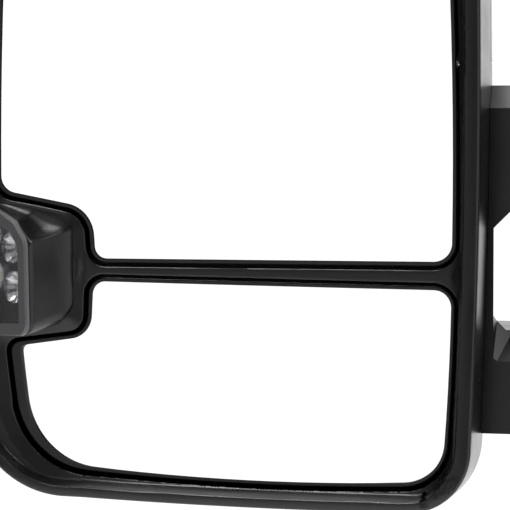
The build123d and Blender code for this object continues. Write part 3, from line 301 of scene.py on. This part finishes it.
MATERIALS = {
    "black_shell": grained_plastic("black_shell", (0.003, 0.003, 0.0035), (0.007, 0.007, 0.008), 0.32),
    "black_smooth": smooth_plastic("black_smooth", (0.008, 0.008, 0.009), (0.013, 0.013, 0.014), 0.32),
    "lamp_grey": grained_plastic("lamp_grey", (0.10, 0.10, 0.105), (0.14, 0.14, 0.145), 0.40, 2200.0),
    "inner_plastic": smooth_plastic("inner_plastic", (0.03, 0.03, 0.03), (0.05, 0.05, 0.05), 0.55),
    "mirror_flat": mirror_glass(),
    "heater": smooth_plastic("heater", (0.22, 0.12, 0.05), (0.3, 0.17, 0.07), 0.5),
    "lens_clear": clear_lens(),
    "reflector_chrome": metal("reflector_chrome", (0.8, 0.8, 0.82), (0.9, 0.9, 0.92), 0.12),
    "board_green": smooth_plastic("board_green", (0.02, 0.12, 0.05), (0.03, 0.2, 0.08), 0.4),
    "led_yellow": smooth_plastic("led_yellow", (0.8, 0.68, 0.2), (0.9, 0.8, 0.3), 0.5),
    "cast_metal": metal("cast_metal", (0.42, 0.43, 0.44), (0.56, 0.57, 0.58), 0.5, scale=900.0),
    "tube_black": grained_plastic(
        "tube_black", (0.02, 0.02, 0.022), (0.035, 0.035, 0.038), 0.34, 2600.0, 0.00002
    ),
    "steel": metal("steel", (0.55, 0.55, 0.56), (0.68, 0.68, 0.69), 0.3),
    "motor_steel": metal("motor_steel", (0.5, 0.5, 0.51), (0.6, 0.6, 0.61), 0.25, (0.2, 1.0, 1.0)),
    "bush_plastic": smooth_plastic("bush_plastic", (0.68, 0.66, 0.6), (0.76, 0.74, 0.68), 0.45),
    "rubber_black": grained_plastic("rubber_black", (0.012, 0.012, 0.012), (0.02, 0.02, 0.02), 0.75),
}

# ---------------------------------------------------------------- outlines shared with the CAD model
# Corners run clockwise seen from the glass side: x and z in millimetres from the head's middle, the
# corner's radius, and how far the side after it bulges.
OUTER = (
    (-116.5, 146.0, 46, 2.5),
    (115.1, 147.5, 30, 3.6),
    (112.1, -147.5, 28, 2.3),
    (-112.5, -143.6, 46, 4.8),
)
UPPER_SEAT = (
    (-99.0, 134.5, 28, 1.4),
    (99.3, 135.5, 19, 1.9),
    (103.6, -39.1, 8.5, 0),
    (-58.8, -39.6, 6, 0),
    (-60.3, -17.2, 15, 0),
    (-103.3, -9.1, 8, 1.3),
)
LOWER_SEAT = (
    (-59.8, -49.6, 6, 0),
    (103.3, -51.4, 7.5, 0.8),
    (99.1, -135.2, 19, 3.9),
    (-89.8, -130.8, 35, 0.4),
    (-97.0, -79.3, 3, 0),
    (-60.7, -74.3, 11, 0),
)
CARRIER_RIM, UPPER_GAP, LOWER_GAP = 1.8, 1.5, 1.6
LAMP_TURN = radians(35.0)
LAMP_EDGE_X, LAMP_EDGE_DEPTH, LAMP_FRAME_T = -83.2, -25.0, 2.0
LAMP_FACE = (
    (-1.0, -31.0, 7, 0),
    (0.3, -73.0, 6, 0),
    (-42.0, -75.0, 7, 0),
    (-42.0, -9.5, 9, 0),
    (-9.0, -22.5, 9, 0),
)
LAMP_CUPS = ((-13.0, -34.0), (-11.4, -51.7), (-28.6, -29.0), (-27.0, -47.0))
CUP_R, CUP_DEPTH, CUP_MOUTH, CUP_ROOT_R = 7.1, 7.6, 2.6, 1.0
CUP_FLUTES, FLUTE_SHARE, CUP_ROWS, CUP_COLUMNS = 12, 0.035, 14, 96
MASK_INSET, MASK_BEHIND, MASK_T, MASK_SPACING = 3.6, 2.5, 0.4, 1.5
SIDE_POINTS, CORNER_POINTS = 41, 25


def grown(corners, amount):
    """The outline moved outwards by an amount, corner by corner."""
    moved = []
    for before, here, after in zip(corners[-1:] + corners[:-1], corners, corners[1:] + corners[:1]):
        a, b, c = (np.array(corner[:2], float) for corner in (before, here, after))
        into, away = (b - a) / np.linalg.norm(b - a), (c - b) / np.linalg.norm(c - b)
        out_into, out_away = np.array((-into[1], into[0])), np.array((-away[1], away[0]))
        shift = (out_into + out_away) * amount / (1 + out_into @ out_away)
        convex = 1 if into[0] * away[1] - into[1] * away[0] < 0 else -1
        moved.append((*(b + shift), max(here[2] + convex * amount, 0.5), here[3]))
    return tuple(moved)


def bezier(p0, p1, p2, p3, t):
    """Point on a cubic curve."""
    return p0 * (1 - t) ** 3 + 3 * p1 * t * (1 - t) ** 2 + 3 * p2 * t * t * (1 - t) + p3 * t**3


def corner_curve(a, b, c, radius, count):
    """Points of the rounded corner at b, between the sides from a and to c."""
    into, away = (b - a) / np.linalg.norm(b - a), (c - b) / np.linalg.norm(c - b)
    turn = abs(atan2(into[0] * away[1] - into[1] * away[0], into @ away))
    cut, handle = radius * np.tan(turn / 2), 4 / 3 * np.tan(turn / 4) * radius
    p0, p3 = b - into * cut, b + away * cut
    return [bezier(p0, p0 + into * handle, p3 - away * handle, p3, t) for t in np.linspace(0, 1, count)]


def bulge_points(corner, there, count):
    """Inner points of the bulged side between two corners."""
    a, b = np.array(corner[:2], float), np.array(there[:2], float)
    out = np.array((a[1] - b[1], b[0] - a[0])) / np.linalg.norm(b - a)
    return [a + (b - a) * t + out * corner[3] * 4 * t * (1 - t) for t in np.linspace(0, 1, count)[1:-1]]


def resampled(points, spacing):
    """A closed polyline's points again, evenly spaced."""
    chain = np.vstack([points, points[:1]])
    steps = np.linalg.norm(np.diff(chain, axis=0), axis=1)
    chain = chain[np.concatenate([[True], steps > 1e-6])]
    run = np.concatenate([[0], np.cumsum(np.linalg.norm(np.diff(chain, axis=0), axis=1))])
    places = np.linspace(0, run[-1], int(round(run[-1] / spacing)) + 1)[:-1]
    return np.stack([np.interp(places, run, chain[:, axis]) for axis in (0, 1)], axis=1)


def outline(corners, spacing):
    """Evenly spaced points round an outline with bulged sides and rounded corners."""
    pairs = zip(corners, corners[1:] + corners[:1])
    sides = [bulge_points(here, there, SIDE_POINTS) for here, there in pairs]
    dense = []
    for index, corner in enumerate(corners):
        here = np.array(corner[:2], float)
        curve = corner_curve(sides[index - 1][-1], here, sides[index][0], corner[2], CORNER_POINTS)
        following = corners[(index + 1) % len(corners)]
        clear = [
            point
            for point in sides[index]
            if np.linalg.norm(point - here) > np.linalg.norm(curve[-1] - here)
            and np.linalg.norm(point - following[:2]) > following[2] * 1.02
        ]
        dense += curve + clear
    return resampled(np.array(dense), spacing)


class Loop:
    """A closed outline that answers how far away it is."""

    def __init__(self, points):
        self.points = points
        self.tree = kdtree.KDTree(len(points))
        for index, (x, z) in enumerate(points):
            self.tree.insert((x, z, 0.0), index)
        self.tree.balance()

    def toward(self, places):
        """Distance from each place to the outline, and the direction there."""
        nearest = np.array([self.tree.find((x, z, 0.0))[1] for x, z in places])
        distance = np.full(len(places), np.inf)
        direction = np.zeros((len(places), 2))
        for step in (-1, 0):
            a = self.points[(nearest + step) % len(self.points)]
            along = self.points[(nearest + step + 1) % len(self.points)] - a
            t = np.clip(((places - a) * along).sum(1) / (along**2).sum(1), 0, 1)
            gap = a + along * t[:, None] - places
            far = np.linalg.norm(gap, axis=1)
            closer = far < distance
            distance[closer] = far[closer]
            direction[closer] = gap[closer] / np.maximum(far[closer, None], 1e-6)
        return distance, direction

    def holds(self, places):
        """Whether each place is inside the outline."""
        x, y = places[:, 0], places[:, 1]
        result = np.zeros(len(places), bool)
        for (x0, y0), (x1, y1) in zip(self.points, np.roll(self.points, -1, axis=0)):
            crosses = (y0 > y) != (y1 > y)
            result ^= crosses & (x < (x1 - x0) * (y - y0) / (y1 - y0 + 1e-12) + x0)
        return result

    def ring(self, amount):
        """The outline's points moved inwards by an amount (outwards if negative)."""
        along = np.roll(self.points, -1, axis=0) - np.roll(self.points, 1, axis=0)
        along /= np.linalg.norm(along, axis=1)[:, None]
        return self.points + np.stack([along[:, 1], -along[:, 0]], axis=1) * amount


def ease(value, low, high):
    """Smooth step from 0 at low to 1 at high."""
    t = np.clip((value - low) / (high - low), 0, 1)
    return t * t * (3 - 2 * t)


def soft_max(a, b, k):
    """Larger of two values, with the corner between them rounded over k."""
    return np.maximum(a, b) + np.maximum(k - np.abs(a - b), 0) ** 2 / (4 * k)


def soft_min(a, b, k):
    """Smaller of two values, with the corner between them rounded over k."""
    return -soft_max(-a, -b, k)


def lamp_place(u, z, behind=0.0):
    """Head place (x, depth, z) of a point on the lamp's plane, moved inward."""
    x = LAMP_EDGE_X + u * cos(LAMP_TURN) + behind * sin(LAMP_TURN)
    depth = LAMP_EDGE_DEPTH - u * sin(LAMP_TURN) + behind * cos(LAMP_TURN)
    return np.array((x, depth, z))


def new_piece(name, places, faces, slot):
    """A smooth mesh that rides the head; places are (x, depth, z) in mm from the head's middle."""
    mesh = bpy.data.meshes.new(name)
    verts = np.asarray(places, float) * MM + (HEAD_X, GLASS_Y, HEAD_Z)
    mesh.from_pydata(verts.tolist(), [], [tuple(int(corner) for corner in face) for face in faces])
    mesh.materials.append(MATERIALS[slot])
    mesh.polygons.foreach_set("use_smooth", [True] * len(mesh.polygons))
    piece = bpy.data.objects.new(name, mesh)
    bpy.context.collection.objects.link(piece)
    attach(piece, "head")
    return piece


def triangulated(points, loops):
    """Triangles over a flat region: the points' places and the corners of each triangle."""
    edges, offset = [], 0
    for loop in loops:
        edges += [(offset + i, offset + (i + 1) % len(loop)) for i in range(len(loop))]
        offset += len(loop)
    corners = [Vector(point) for point in np.vstack([*loops, points])]
    found = geometry.delaunay_2d_cdt(corners, edges, [], 0, 1e-6)
    flat, faces = np.array([tuple(p) for p in found[0]]), np.array([tuple(f) for f in found[2]])
    a, b, c = (flat[faces[:, corner]] for corner in range(3))
    turned = (b - a)[:, 0] * (c - a)[:, 1] - (b - a)[:, 1] * (c - a)[:, 0] < 0
    faces[turned] = faces[turned][:, ::-1]
    return flat, faces


# ---------------------------------------------------------------- bezel
RIM_DEPTH, FLOOR_DEPTH, BACK_DEPTH, SEAM_DEPTH = -12.0, -3.0, -1.2, -9.0
RIM_FALL, EDGE_ROUND, LIP_ROUND = 0.9, 1.2, 0.35
# Width of the rim's crest, what the inboard side adds to it, and how steep the wall inside it is.
CREST, CREST_INBOARD, WALL_SLOPE = 4.6, 2.2, 3.6
WALL_ROUND, WALL_SHARPER, FOOT_ROUND = 1.4, 0.8, 1.6
DISH, DISH_REACH, BAR_CROWN = 0.32, 6.0, 0.35
# Openings nearer to each other than the first have a bar between them, and further than the second a floor.
BAR_WIDTH, FLOOR_WIDTH = 8.0, 15.0
INBOARD_START, INBOARD_FULL = 0.25, 0.9
HOLLOW_START, HOLLOW_RUN = 3.0, 0.6
POD_FOOT = ((-117.0, -10.5), (-86.0, -15.5), (-66.5, -19.5), (-66.0, -67.0), (-117.0, -77.5))
POD_HEAD = ((-41.3, -9.7), (-9.0, -22.5), (-1.0, -31.0), (0.3, -73.0), (-41.3, -75.0))
POD_FOOT_R, POD_HEAD_R = (30.0, 9.0, 11.0), (9.0, 7.0, 6.0)
POD_MIDDLE, POD_SHRINK = (-96.0, -46.0), 0.05
POD_BACK = ((-112.0, -70.0), (-112.0, -18.0))
POD_ROWS, POD_STEPS, POD_WALL, POD_LIFT = 16, 14, 1.2, 0.15
# Share of the way in over which the pod's wall keeps low, and what its upper side adds to it.
POD_SWEEP, POD_TOP_SWEEP = 0.32, 0.5
POD_TOP_START, POD_TOP_FULL = -26.0, -16.0
OUTER_RINGS = (0.1, 0.35, 0.75, 1.2, 2.6, 4.0, 4.8, 5.5, 6.1, 6.7, 7.2, 7.7, 8.3, 9.2, 10.6)
SEAT_RINGS = (0.1, 0.22, 0.36, 0.65, 1.1, 1.8, 2.7, 3.8, 5.2)
RING_SPACING, RIM_SPACING, RIM_INSET, MERGE = 1.3, 1.6, 0.03, 0.15
FILL_STEP, FILL_CLEAR, BEZEL_WALL = 2.5, 5.0, 0.6
outer = Loop(outline(grown(OUTER, -RIM_INSET), RIM_SPACING))
upper = Loop(outline(grown(UPPER_SEAT, CARRIER_RIM + UPPER_GAP), RING_SPACING))
lower = Loop(outline(grown(LOWER_SEAT, CARRIER_RIM + LOWER_GAP), RING_SPACING))


def bezel_depth(places):
    """Depth of the bezel's face at each place; rearward, towards the viewer, is negative."""
    rim, direction = outer.toward(places)
    upper_gap, lower_gap = upper.toward(places)[0], lower.toward(places)[0]
    # On the inboard side the crest is wide and its wall steep; round the rest it is narrow and soft.
    inboard = ease(direction[:, 0], INBOARD_START, INBOARD_FULL)
    crest = CREST + CREST_INBOARD * inboard
    fall = RIM_FALL * np.maximum(1 - rim / crest, 0) ** 2
    wall = RIM_DEPTH + (rim - crest) * WALL_SLOPE
    depth = soft_max(RIM_DEPTH + fall, wall, WALL_ROUND - WALL_SHARPER * inboard)
    # The floor is dished: it comes forward gently away from the panes' openings.
    across = upper_gap + lower_gap
    reach = np.minimum(np.minimum(upper_gap, lower_gap), DISH_REACH)
    dish = DISH * reach * ease(across, BAR_WIDTH, FLOOR_WIDTH)
    depth = soft_min(depth, FLOOR_DEPTH - dish, FOOT_ROUND)
    # The bar between the panes is crowned, and its crown dies away up the rim's wall.
    crown = 4 * upper_gap * lower_gap / np.maximum(across, 1e-6) ** 2
    crown = crown * ease(-across, -FLOOR_WIDTH, -BAR_WIDTH)
    depth = depth - BAR_CROWN * crown * ease(depth, -9.0, -5.0)
    # Edges are rounded, at the panes' openings and outside.
    inner_edge = np.maximum(LIP_ROUND - np.minimum(upper_gap, lower_gap), 0)
    outer_edge = np.maximum(EDGE_ROUND - rim, 0)
    depth = depth + LIP_ROUND - np.sqrt(np.maximum(LIP_ROUND**2 - inner_edge**2, 0))
    return depth + EDGE_ROUND - np.sqrt(np.maximum(EDGE_ROUND**2 - outer_edge**2, 0))


def open_path(corners, radii, count):
    """Open path through the corners, the inner ones rounded; count points on each side and corner."""
    points = [np.array(corner, float) for corner in corners]
    turns = zip(points, points[1:], points[2:], radii)
    curves = [corner_curve(a, b, c, radius, count) for a, b, c, radius in turns]
    path, last = [], points[0]
    for curve in [*curves, [points[-1]]]:
        path += [last + (curve[0] - last) * t for t in np.linspace(0, 1, count)[:-1]]
        path += curve[:-1]
        last = curve[-1]
    return path + [points[-1]]


def on_bezel(places, borders, room):
    """Whether each place is on the bezel, and further than some room from its borders."""
    clear = borders[0].holds(places)
    for hole in borders[1:]:
        clear &= ~hole.holds(places)
    for border in borders:
        clear &= border.toward(places)[0] > room
    return clear


def bezel_plan():
    """The bezel's flat plan, in triangles: outline, both openings and the notch under the pod."""
    foot = np.array(open_path(POD_FOOT, POD_FOOT_R, 12))
    inset = foot + (np.array(POD_MIDDLE) - foot) * POD_SHRINK
    notch = Loop(resampled(np.vstack([inset, POD_BACK]), RING_SPACING))
    borders = [outer, upper, lower, notch]
    rings = [outer.ring(amount) for amount in OUTER_RINGS]
    rings += [seat.ring(-amount) for seat in (upper, lower) for amount in SEAT_RINGS]
    rings = np.vstack(rings)
    _, first = np.unique(np.round(rings / MERGE).astype(int), axis=0, return_index=True)
    rings = rings[np.sort(first)]
    across, along = np.arange(-112, 112, FILL_STEP), np.arange(-80, 0, FILL_STEP)
    floor = np.stack(np.meshgrid(across, along), axis=-1).reshape(-1, 2)
    rings = rings[on_bezel(rings, borders, 0.05)]
    floor = floor[on_bezel(floor, borders, FILL_CLEAR)]
    flat, faces = triangulated(np.vstack([rings, floor]), [border.points for border in borders])
    faces = faces[on_bezel(flat[faces].mean(axis=1), borders, 0.0)]
    used = np.unique(faces)
    renumber = np.zeros(len(flat), int)
    renumber[used] = np.arange(len(used))
    return flat[used], renumber[faces]


def bezel_normals(flat, depth):
    """Normals of the shaped face, from its slopes."""
    step = 0.02
    slope_x = (bezel_depth(flat + (step, 0)) - depth) / step
    slope_z = (bezel_depth(flat + (0, step)) - depth) / step
    normals = np.stack([slope_x, -np.ones(len(flat)), slope_z], axis=1)
    return normals / np.linalg.norm(normals, axis=1)[:, None]


def make_bezel():
    """The bezel: a shaped front face over its plan, a plain back face and walls between them."""
    flat, faces = bezel_plan()
    count = len(flat)
    depth = bezel_depth(flat)
    normals = bezel_normals(flat, depth)
    hollow = np.clip((outer.toward(flat)[0] - HOLLOW_START) / HOLLOW_RUN, 0, 1)
    back = np.maximum(SEAM_DEPTH + (BACK_DEPTH - SEAM_DEPTH) * hollow, depth + BEZEL_WALL)
    twice = np.tile(flat, (2, 1))
    places = np.stack([twice[:, 0], np.concatenate([depth, back]), twice[:, 1]], axis=1)
    sides = {(a, b) for face in faces.tolist() for a, b in zip(face, face[1:] + face[:1])}
    skirts = [(b, a, a + count, b + count) for a, b in sorted(sides) if (b, a) not in sides]
    all_faces = faces.tolist() + (faces + count)[:, ::-1].tolist() + skirts
    piece = new_piece("bezel_face", places, all_faces, "black_shell")
    wanted = []
    for polygon in piece.data.polygons:
        if polygon.index < len(faces):
            wanted += [tuple(normals[corner]) for corner in polygon.vertices]
        else:
            wanted += [tuple(polygon.normal)] * len(polygon.vertices)
    piece.data.normals_split_custom_set(wanted)
    return piece


def make_pod():
    """The lamp pod: a wall that sweeps up from the bezel's floor to the lamp's frame."""
    foot_path = open_path(POD_FOOT, POD_FOOT_R, POD_STEPS)
    head_path = open_path(POD_HEAD, POD_HEAD_R, POD_STEPS)
    rows = POD_ROWS
    places = []
    for (foot_x, foot_z), (u, z) in zip(foot_path, head_path):
        foot = np.array((foot_x, FLOOR_DEPTH + POD_LIFT, foot_z))
        head = lamp_place(u, z, LAMP_FRAME_T)
        share = POD_SWEEP + POD_TOP_SWEEP * float(ease(foot_z, POD_TOP_START, POD_TOP_FULL))
        root = foot + (head - foot) * (share, 0, share)
        places += [
            bezier(foot, foot + (root - foot) * 0.75, root + (head - root) * 0.2, head, t)
            for t in np.linspace(0, 1, rows)
        ]
    faces = [
        (a, a + 1, a + 1 + rows, a + rows)
        for column in range(len(foot_path) - 1)
        for a in range(column * rows, column * rows + rows - 1)
    ]
    pod = new_piece("lamp_pod", places, faces, "black_shell")
    wall = pod.modifiers.new("wall", "SOLIDIFY")
    wall.thickness = POD_WALL * MM
    wall.offset = -1.0
    return pod


# ---------------------------------------------------------------- lamp
def make_lamp_cup(number, u, z):
    """One bright fluted bowl of the lamp."""
    rows, columns = CUP_ROWS, CUP_COLUMNS
    places = []
    for row in range(rows):
        share = row / (rows - 1)
        behind = CUP_MOUTH + CUP_DEPTH * (1 - share)
        for column in range(columns):
            angle = 2 * pi * column / columns
            flute = 1 - FLUTE_SHARE * share * abs(sin(angle * CUP_FLUTES / 2))
            radius = (CUP_ROOT_R + (CUP_R - CUP_ROOT_R) * sqrt(share)) * flute
            places.append(lamp_place(u + radius * cos(angle), z + radius * sin(angle), behind))
    faces = []
    for row in range(rows - 1):
        here, above = row * columns, (row + 1) * columns
        for column in range(columns):
            after = (column + 1) % columns
            faces.append((here + column, here + after, above + after, above + column))
    return new_piece(f"lamp_cup_{number}", places, faces, "reflector_chrome")


def make_lamp_mask():
    """Black plate round the bowls, just behind the window."""
    holes = []
    for u, z in LAMP_CUPS:
        angles = np.linspace(0, 2 * pi, 64, endpoint=False)
        circle = np.stack([u + CUP_R * np.cos(angles), z + CUP_R * np.sin(angles)], axis=1)
        holes.append(Loop(circle))
    edge = Loop(outline(grown(LAMP_FACE, -MASK_INSET), MASK_SPACING))
    flat, faces = triangulated(np.zeros((0, 2)), [edge.points] + [hole.points for hole in holes])
    middles = flat[faces].mean(axis=1)
    kept = edge.holds(middles)
    for hole in holes:
        kept &= ~hole.holds(middles)
    places = [lamp_place(u, z, MASK_BEHIND) for u, z in flat]
    mask = new_piece("lamp_mask", places, faces[kept], "black_smooth")
    plate = mask.modifiers.new("plate", "SOLIDIFY")
    plate.thickness = MASK_T * MM
    return mask


# ---------------------------------------------------------------- the scene
for entry in frame["record"]["subparts"]:
    mesh = frame["nodes"][entry["node"]].data
    mesh.materials.clear()
    mesh.materials.append(MATERIALS[entry["material_slot"]])

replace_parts(make_bezel(), "glass_bezel")
make_pod()
make_lamp_mask()
for cup_number, (cup_u, cup_z) in enumerate(LAMP_CUPS, start=1):
    make_lamp_cup(cup_number, cup_u, cup_z)

make_camera()
make_world()
make_floor()
bpy.context.scene.view_settings.view_transform = "Standard"
